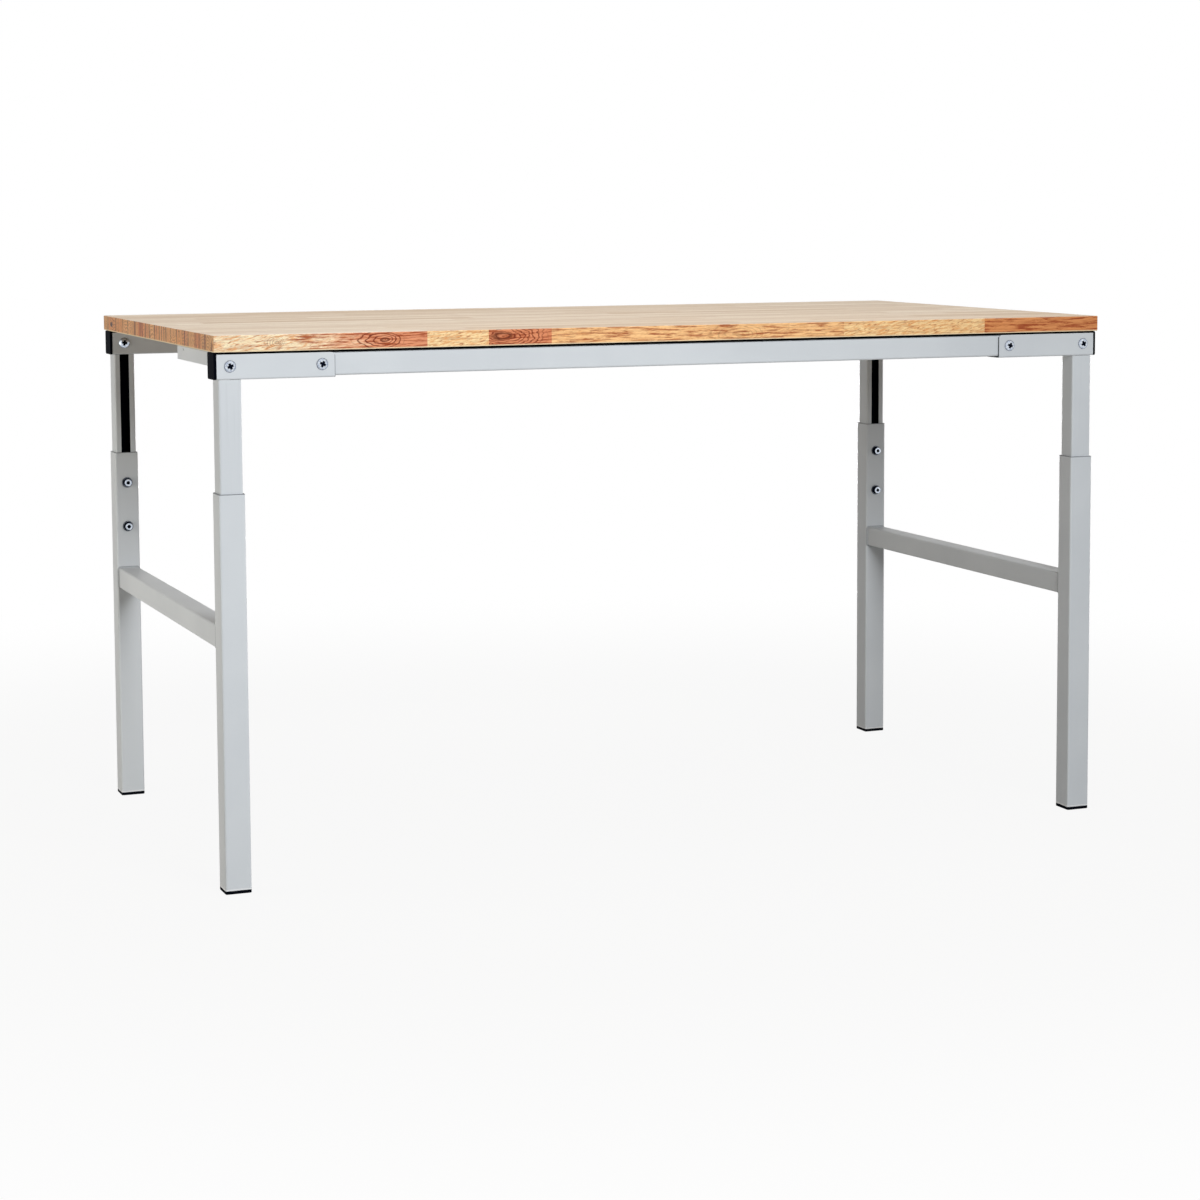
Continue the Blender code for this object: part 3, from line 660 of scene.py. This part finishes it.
# %% [markdown]
# The brackets have one more thing to show. Their inner ends are sheared off, and at the right one the
# photo looks straight at the cut: a black line down the bracket's end and a black wedge under the
# rail, where shade falls. Those end faces are picked out by where they are and which way they face, and
# are painted as shade, nearly black. A thin dark line of painted shade also runs down the front plate
# next to each end.

# %% Powder coat with cut ends painted as shade, for the brackets
BRACKET_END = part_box("rail_bracket_front_right")[0][0]
CUT_REACH = 0.0004
RIM_REACH = 0.0010
END_SHADE_GREY = screen(96, 100, 106)

cut, cut_look = powder_coat("bracket_powder_coat")
cut_x = abs(cut.place().axes()[0])
# painted shade: the cut end faces are nearly black
painted_shade_end = (cut_x < BRACKET_END + CUT_REACH) * (abs(cut.facing().axes()[0]) > 0.7)
# painted shade: a dark line on the front plate close to each end
painted_shade_line = (cut_x < BRACKET_END + RIM_REACH) * 0.7
cut_look["Base Color"] = cut.blend(painted_shade_line, cut_look["Base Color"], END_SHADE_GREY)
bracket_powder = cut.surface(cut_look, unlit=painted_shade_end)
print("bracket ends lie at", round(BRACKET_END, 4))

# %% [markdown]
# ## Black plastic and rubber
#
# The end caps and feet are moulded in black plastic with a spark-eroded skin: a fine, even grain
# that scatters the light. The strip under the board is softer and duller. Both are nearly black, so
# the roughness and the bump carry all there is to see.

# %% Moulded plastic and rubber strip
DUST_GREY = screen(18, 19, 22)


def black_moulding(name, colour, roughness, grain, depth):
    recipe = Recipe(bpy.data.materials.new(name))
    where = recipe.place()
    skin = recipe.noise(where, grain, detail=3.0)
    dust = recipe.rise(recipe.noise(where, 38.0, detail=4.0), 0.5, 0.8)
    return recipe.surface({
        "Base Color": recipe.blend(dust * 0.20, colour, DUST_GREY),
        "Roughness": roughness + skin * 0.14 + dust * 0.05,
        "Normal": recipe.bump(skin, depth, 0.6),
        "Specular IOR Level": 0.004,
    })


plastic = black_moulding("black_moulded_plastic", screen(8, 11, 18), 0.46, 900.0, 0.00010)
rubber = black_moulding("black_rubber_strip", screen(8, 8, 9), 0.66, 450.0, 0.00008)
print("mouldings:", plastic.name, rubber.name)

# %% [markdown]
# ## Zinc-plated steel
#
# Bolts, screws and the clamp bars are plated with bright zinc, which has a cold blue tint. A metal
# shows what is around it, so its colour is only half of the look: small changes of roughness, from
# the tumbling drum in which such screws are plated, break up the reflections.

# %% Bright zinc
ZINC_BLUE = screen(176, 184, 198)
ZINC_PALE = screen(206, 210, 216)

zinc = Recipe(bpy.data.materials.new("bright_zinc"))
tumbled = zinc.noise(zinc.place(), 240.0, detail=4.0, roughness=0.6)
patches = zinc.rise(tumbled, 0.38, 0.66)
zinc_plate = zinc.surface({
    "Base Color": zinc.blend(patches, ZINC_BLUE, ZINC_PALE),
    "Metallic": 1.0,
    "Roughness": 0.18 + tumbled * 0.22,
    "Normal": zinc.bump(tumbled, 0.00005, 0.5),
})
print("zinc finish:", zinc_plate.name)

# %% [markdown]
# ## Turned bolts
#
# The bolts are the only parts that catch the eye on a frame this plain. The CAD has them with few
# faces, so finer ones replace them. A bolt is a solid of revolution: a profile of radius and height
# is spun round its axis, as on a lathe. The cross and the hexagon are then cut with a Boolean, as the
# punch does in the factory. The clamp bolt's head has fine ridges for the fingers.
#
# Each kind of bolt is made once, and its eight places share the mesh.

# %% Spin a profile, then punch a recess
SHARP_EDGE = radians(32)


def spun(name, profile, steps=64, waist=None):
    """A solid of revolution about z; waist(step, radius) may change the radius as it turns."""
    shape = bmesh.new()
    rings = []
    for radius, height in profile:
        ring = []
        for step in range(steps if radius > 0 else 1):
            turn = 2 * pi * step / steps
            reach = waist(step, radius) if waist else radius
            ring.append(shape.verts.new((reach * cos(turn), reach * sin(turn), height)))
        rings.append(ring)
    for above, below in zip(rings, rings[1:]):
        for step in range(steps):
            after = (step + 1) % steps
            upper = [above[step % len(above)], above[after % len(above)]]
            lower = [below[step % len(below)], below[after % len(below)]]
            square = [upper[0], lower[0], lower[1], upper[1]]
            shape.faces.new(list(dict.fromkeys(square)))
    bmesh.ops.recalc_face_normals(shape, faces=shape.faces)
    return to_object(name, shape)


def to_object(name, shape):
    mesh = bpy.data.meshes.new(name)
    shape.to_mesh(mesh)
    shape.free()
    made = bpy.data.objects.new(name, mesh)
    bpy.context.collection.objects.link(made)
    return made


def punched(blank, punches):
    """The blank's mesh with each punch cut out of it. The blank and the punches are removed."""
    for punch in punches:
        cut = blank.modifiers.new(punch.name, "BOOLEAN")
        cut.operation = "DIFFERENCE"
        cut.object = punch
    bpy.context.view_layer.update()
    mesh = bpy.data.meshes.new_from_object(blank.evaluated_get(bpy.context.evaluated_depsgraph_get()))
    mesh.shade_smooth()
    mesh.set_sharp_from_angle(angle=SHARP_EDGE)
    for thing in punches + [blank]:
        bpy.data.objects.remove(thing, do_unlink=True)
    print(mesh.name, "has", len(mesh.polygons), "faces")
    return mesh


# %% [markdown]
# The bolt that holds bracket and rail has a low dome at both ends: its head on the outer side, and a
# domed nut on the inner one. The dome is part of a ball, whose radius follows from how wide and how
# high it is. Four tapered bars, two for each end, punch a cross in both.

# %% The domed bolt and its domed nut
HEAD_RADIUS = 0.0090
HEAD_RIM = 0.0006
HEAD_DOME = 0.0036
HEAD_SEAT = 0.0203
SHANK_RADIUS = 0.0040
CROSS_REACH = 0.0058
CROSS_DEPTH = 0.0030
CROSS_TAPER = 0.55
WING_WIDTH = 0.0044
WING_WIDTH_DEEP = 0.0028
PUNCH_MARGIN = 0.0004
DOME_STEPS = 8
DOME_SHARE = 0.985
DOME_BALL = (HEAD_RADIUS ** 2 + HEAD_DOME ** 2) / (2 * HEAD_DOME)
HEAD_TOP = HEAD_SEAT + HEAD_RIM + HEAD_DOME


def wing(name, turn, side):
    """One tapered bar of the cross-shaped punch."""
    shape = bmesh.new()
    bmesh.ops.create_cube(shape, size=1.0)
    for corner in shape.verts:
        deep = corner.co.z < 0
        corner.co.x *= 2 * (CROSS_REACH * CROSS_TAPER if deep else CROSS_REACH)
        corner.co.y *= WING_WIDTH_DEEP if deep else WING_WIDTH
        corner.co.z = side * (HEAD_TOP - CROSS_DEPTH if deep else HEAD_TOP + PUNCH_MARGIN)
    bmesh.ops.rotate(shape, verts=shape.verts, matrix=Matrix.Rotation(turn, 3, "Z"))
    bmesh.ops.recalc_face_normals(shape, faces=shape.faces)
    return to_object(name, shape)


half = []
for step in range(DOME_STEPS + 1):
    reach = HEAD_RADIUS * sin(pi / 2 * step / DOME_STEPS) * DOME_SHARE
    half.append((reach, HEAD_TOP - (DOME_BALL - (DOME_BALL ** 2 - reach ** 2) ** 0.5)))
half.append((HEAD_RADIUS, HEAD_SEAT + HEAD_RIM * 0.6))
half.append((HEAD_RADIUS - 0.0002, HEAD_SEAT))
half.append((SHANK_RADIUS, HEAD_SEAT))
bolt_blank = spun("domed_bolt", half + [(radius, -height) for radius, height in reversed(half)])
wings = [wing(f"wing_{count}", pi / 2 * (count % 2), 1 if count < 2 else -1) for count in range(4)]
bolt_mesh = punched(bolt_blank, wings)

# %% [markdown]
# The clamp bolt is a socket-head screw with a plain washer, and two of them hold each inner leg. Its
# profile runs from the top of the head down over the chamfer, out over the washer and in again to the
# shank, so head, washer and shank are one closed solid. The ridges of the head come from pulling in
# every second point on its side.

# %% The socket-head clamp bolt and its washer
WASHER_RADIUS = 0.0090
WASHER_THICKNESS = 0.0016
CLAMP_RADIUS = 0.0065
CLAMP_TOP = 0.0098
CLAMP_REACH = 0.0136
HEX_ACROSS = 0.006
HEX_RADIUS = HEX_ACROSS / 3 ** 0.5
HEX_DEPTH = 0.004
GRIP_RISE = 0.00018


def knurl(step, radius):
    """Fine ridges on the side of the head, for fingers to grip."""
    on_side = abs(radius - CLAMP_RADIUS) < 0.00001
    return radius - GRIP_RISE * (step % 2) if on_side else radius


clamp_profile = [
    (0, CLAMP_TOP), (CLAMP_RADIUS - 0.0011, CLAMP_TOP), (CLAMP_RADIUS - 0.0004, CLAMP_TOP - 0.0003),
    (CLAMP_RADIUS, CLAMP_TOP - 0.0010), (CLAMP_RADIUS, WASHER_THICKNESS + 0.0008),
    (CLAMP_RADIUS - 0.0004, WASHER_THICKNESS + 0.0003), (WASHER_RADIUS - 0.0004, WASHER_THICKNESS + 0.0003),
    (WASHER_RADIUS, WASHER_THICKNESS - 0.0001), (WASHER_RADIUS, 0.0006), (WASHER_RADIUS - 0.0004, 0.0003),
    (SHANK_RADIUS, 0.0003), (SHANK_RADIUS, 0.0010 - CLAMP_REACH),
    (SHANK_RADIUS - 0.0009, -CLAMP_REACH), (0, -CLAMP_REACH),
]
clamp_blank = spun("clamp_bolt", clamp_profile, steps=72, waist=knurl)
hexagon = bmesh.new()
hex_size = {"radius1": HEX_RADIUS, "radius2": HEX_RADIUS, "depth": 2 * HEX_DEPTH}
bmesh.ops.create_cone(hexagon, cap_ends=True, segments=6, **hex_size)
bmesh.ops.translate(hexagon, vec=(0, 0, CLAMP_TOP), verts=hexagon.verts)
clamp_mesh = punched(clamp_blank, [to_object("hexagon", hexagon)])

# %% [markdown]
# A bolt's own finish knows where its axis is, because each bolt has its own coordinates. That makes
# three things easy: the recess is painted as shade, nearly black, a darker ring of painted shade lies
# round the rim where the head meets the paint, and the dome has faint rings from the die that pressed it.
#
# Round the clamp bolts the photo shows black as well. So the side of the head, the washer close to it
# and the washer's edge are painted as shade too, nearly black.

# %% Zinc for the bolts
PIT_FADE = (0.0001, 0.0004)
RIM_FADE = (0.0072, 0.0088)
DIE_RINGS = 9000.0
WASHER_EDGE = 0.0083
BOLT_BLUE = screen(168, 180, 200)
BOLT_PALE = screen(226, 232, 238)
BOLT_RIM_SHADE = screen(58, 66, 82)


def bolt_zinc(name, top, ball, recess, shaded_side=0.0):
    recipe = Recipe(bpy.data.materials.new(name))
    where = recipe.place()
    side, other, height = where.axes()
    reach = (side * side + other * other) ** 0.5
    tumbled = recipe.noise(where, 420.0, detail=4.0, roughness=0.6)
    sunk = top - abs(height) - reach * reach / (2 * ball)
    # painted shade: the recess is nearly black
    painted_shade = recipe.rise(sunk, *PIT_FADE) * (reach < recess)
    # painted shade: a darker ring where the head meets the paint
    painted_rim_shade = recipe.rise(reach, *RIM_FADE)
    pressed = (reach * DIE_RINGS).sine() * 0.5 + 0.5
    colour = recipe.blend(recipe.rise(tumbled, 0.35, 0.65), BOLT_BLUE, BOLT_PALE)
    colour = recipe.blend(painted_rim_shade * 0.6, colour, BOLT_RIM_SHADE)
    if shaded_side:
        # painted shade: the head's side, the washer beside it and the washer's edge
        shade_beside_head = (reach > shaded_side - 0.0005) * (reach < shaded_side + 0.0014)
        painted_shade = painted_shade.most(shade_beside_head).most(reach > WASHER_EDGE)
    look = {
        "Base Color": colour,
        "Metallic": 1.0,
        "Roughness": 0.20 + tumbled * 0.18,
        "Normal": recipe.bump(tumbled * 0.7 + pressed * 0.3, 0.00006, 0.6),
    }
    return recipe.surface(look, unlit=painted_shade)


domed_zinc = bolt_zinc("domed_bolt_zinc", HEAD_TOP, DOME_BALL, CROSS_REACH + 0.0006)
clamp_zinc = bolt_zinc("clamp_bolt_zinc", CLAMP_TOP, 1.0, HEX_RADIUS + 0.0002, CLAMP_RADIUS)
for mesh, finish in ((bolt_mesh, domed_zinc), (clamp_mesh, clamp_zinc)):
    mesh.materials.clear()
    mesh.materials.append(finish)
print("bolt finishes:", domed_zinc.name, clamp_zinc.name)

# %% [markdown]
# A frame bolt goes through bracket and rail, so its middle is the middle of the CAD's bolt. A clamp
# bolt's washer lies on the outer leg's inner face, which faces the other row of legs. Nobody stops
# every bolt at the same angle, so each is turned on from the one before.

# %% Put the bolts in their places
TURN_STEP = 2.4
FIRST_TURN = 0.6
OUTER_LEG_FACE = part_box("outer_leg_front_left")[1][1]


def set_bolt(node, mesh, middle, heading, count):
    """heading is 1 where the head points towards the back of the bench, and -1 towards the front."""
    bolt = bpy.data.objects.new("fine_" + node, mesh)
    bpy.context.collection.objects.link(bolt)
    aim = Matrix.Rotation(-heading * pi / 2, 4, "X")
    turn = Matrix.Rotation(count * TURN_STEP + FIRST_TURN, 4, "Z")
    bolt.matrix_world = Matrix.Translation(middle) @ aim @ turn
    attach(bolt, frame["nodes"][node].parent.name.removeprefix("body:"))
    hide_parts(node)


places = [name for name in frame["nodes"] if name.startswith(("frame_bolt", "clamp_bolt"))]
for count, name in enumerate(places):
    low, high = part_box(name)
    middle = [(a + b) / 2 for a, b in zip(low, high)]
    row_side = 1 if middle[1] > 0 else -1
    if name.startswith("frame_bolt"):
        set_bolt(name, bolt_mesh, middle, row_side, count)
    else:
        middle[1] = -row_side * OUTER_LEG_FACE
        set_bolt(name, clamp_mesh, middle, -row_side, count)
print("fine bolts:", len(places))

# %% [markdown]
# ## Painted welds
#
# A stretcher is welded to its two outer legs before the side frame is painted. The CAD leaves a hair
# of air there, because each tube is a solid of its own. A weld bead closes it. The bead is a round bar
# that follows the tube's rounded square, and its radius swells a little again and again, as the drops
# of a weld do. Its coat is darkened with painted shade, as the line in the joint there in the photo is.

# %% Weld beads at the ends of the stretchers
WELD_SHADE_GREY = screen(96, 100, 108)

weld, weld_look = powder_coat("weld_powder_coat")
# painted shade: the bead's coat is darker than the tubes
weld_look["Base Color"] = weld.blend(0.45, weld_look["Base Color"], WELD_SHADE_GREY)
weld_powder = weld.surface(weld_look)

BEAD_RADIUS = 0.0021
BEAD_RIPPLE = 0.00028
BEAD_DROP = 0.0030
DROP_RINGS = 4
TUBE_ROUND = 0.003


def rounded_square(low, high, bend, steps=5):
    """Points round a square with bent corners, from (x, z) to (x, z)."""
    points = []
    for corner in range(4):
        side = high[0] - bend if corner in (0, 3) else low[0] + bend
        height = high[1] - bend if corner in (0, 1) else low[1] + bend
        for step in range(steps):
            turn = pi / 2 * (corner + step / (steps - 1))
            points.append(Vector((side + bend * cos(turn), height + bend * sin(turn))))
    return points


def evenly(points, gap):
    """The same closed path with its points about one gap apart."""
    spaced = []
    for here, there in zip(points, points[1:] + points[:1]):
        pieces = max(1, round((there - here).length / gap))
        spaced += [here.lerp(there, piece / pieces) for piece in range(pieces)]
    return spaced


def weld_bead(name, low, high, wall, body, ring_steps=8):
    path = evenly(rounded_square((low[0], low[2]), (high[0], high[2]), TUBE_ROUND), BEAD_DROP / DROP_RINGS)
    middle = Vector(((low[0] + high[0]) / 2, (low[2] + high[2]) / 2))
    shape = bmesh.new()
    rings = []
    for count, point in enumerate(path):
        ahead = (path[(count + 1) % len(path)] - path[count - 1]).normalized()
        out = Vector((ahead.y, -ahead.x))
        out = out if out.dot(point - middle) > 0 else -out
        thick = BEAD_RADIUS + BEAD_RIPPLE * abs(sin(pi * count / DROP_RINGS))
        ring = []
        for step in range(ring_steps):
            turn = 2 * pi * step / ring_steps
            side = point + out * (thick * cos(turn))
            ring.append(shape.verts.new((side.x, wall + thick * sin(turn), side.y)))
        rings.append(ring)
    for here, there in zip(rings, rings[1:] + rings[:1]):
        for step in range(ring_steps):
            after = (step + 1) % ring_steps
            shape.faces.new([here[step], here[after], there[after], there[step]])
    bmesh.ops.recalc_face_normals(shape, faces=shape.faces)
    bead = to_object(name, shape)
    bead.data.shade_smooth()
    bead.data.materials.append(weld_powder)
    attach(bead, body)
    return len(path)


for side, body in (("left", "left_base"), ("right", "right_base")):
    low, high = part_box("side_stretcher_" + side)
    for place, wall in (("front", low[1]), ("back", high[1])):
        drops = weld_bead(f"weld_{place}_{side}", low, high, wall, body)
print("weld beads of", drops, "rings each")

# %% [markdown]
# ## Every CAD piece gets its finish
#
# The packed nodes carry the record's plain materials. Each slot name is swapped for the finish that
# was just made. The inner legs, the outer legs and the brackets get their own mixes.

# %% Dress the CAD nodes
FINISHES = {
    "worktop_wood": board,
    "frame_paint": powder,
    "black_plastic": plastic,
    "strip_rubber": rubber,
    "zinc_plate": zinc_plate,
}

OWN_FINISHES = {"inner_leg": slotted_powder, "outer_leg": collar_powder, "rail_bracket": bracket_powder}

for name, node in frame["nodes"].items():
    own = [finish for start, finish in OWN_FINISHES.items() if name.startswith(start)]
    for slot in node.material_slots:
        slot.material = own[0] if own else FINISHES[slot.material.name]
print("dressed", len(frame["nodes"]), "nodes in", len(FINISHES) + len(OWN_FINISHES), "finishes")

# %% [markdown]
# ## Light that rolls round a bend
#
# The CAD's tubes have a few flat faces round each bend, and flat faces catch the light in bands. More
# faces would cost a new mesh for every tube. Shading is cheaper: a small modifier lets the light run
# smoothly over every edge that bends less than 35 degrees and keeps the sharp ones sharp, and a
# weighted normal then keeps the wide sides flat. The mesh itself stays as the CAD made it.

# %% Smooth bends on the CAD nodes
BEND_LIMIT = radians(35)

shading = bpy.data.node_groups.new("bend_shading", "GeometryNodeTree")
for way in ("INPUT", "OUTPUT"):
    shading.interface.new_socket("Geometry", in_out=way, socket_type="NodeSocketGeometry")
enter = shading.nodes.new("NodeGroupInput")
leave = shading.nodes.new("NodeGroupOutput")
plain_normals = shading.nodes.new("GeometryNodeRemoveAttribute")
plain_normals.inputs["Name"].default_value = "custom_normal"
all_smooth = shading.nodes.new("GeometryNodeSetShadeSmooth")
keep_sharp = shading.nodes.new("GeometryNodeSetShadeSmooth")
keep_sharp.domain = "EDGE"
keep_sharp.inputs["Shade Smooth"].default_value = False
bend = shading.nodes.new("GeometryNodeInputMeshEdgeAngle")
sharper = shading.nodes.new("FunctionNodeCompare")
sharper.operation = "GREATER_THAN"
sharper.inputs[1].default_value = BEND_LIMIT
shading.links.new(enter.outputs[0], plain_normals.inputs["Geometry"])
shading.links.new(plain_normals.outputs["Geometry"], all_smooth.inputs["Geometry"])
shading.links.new(all_smooth.outputs["Geometry"], keep_sharp.inputs["Geometry"])
shading.links.new(bend.outputs["Unsigned Angle"], sharper.inputs[0])
shading.links.new(sharper.outputs["Result"], keep_sharp.inputs["Selection"])
shading.links.new(keep_sharp.outputs["Geometry"], leave.inputs[0])

for node in frame["nodes"].values():
    soft_bends = node.modifiers.new("bend_shading", "NODES")
    soft_bends.node_group = shading
    flat_sides = node.modifiers.new("flat_sides", "WEIGHTED_NORMAL")
    flat_sides.keep_sharp = True
print("bends under", round(BEND_LIMIT, 3), "radians are shaded smooth")

# %% [markdown]
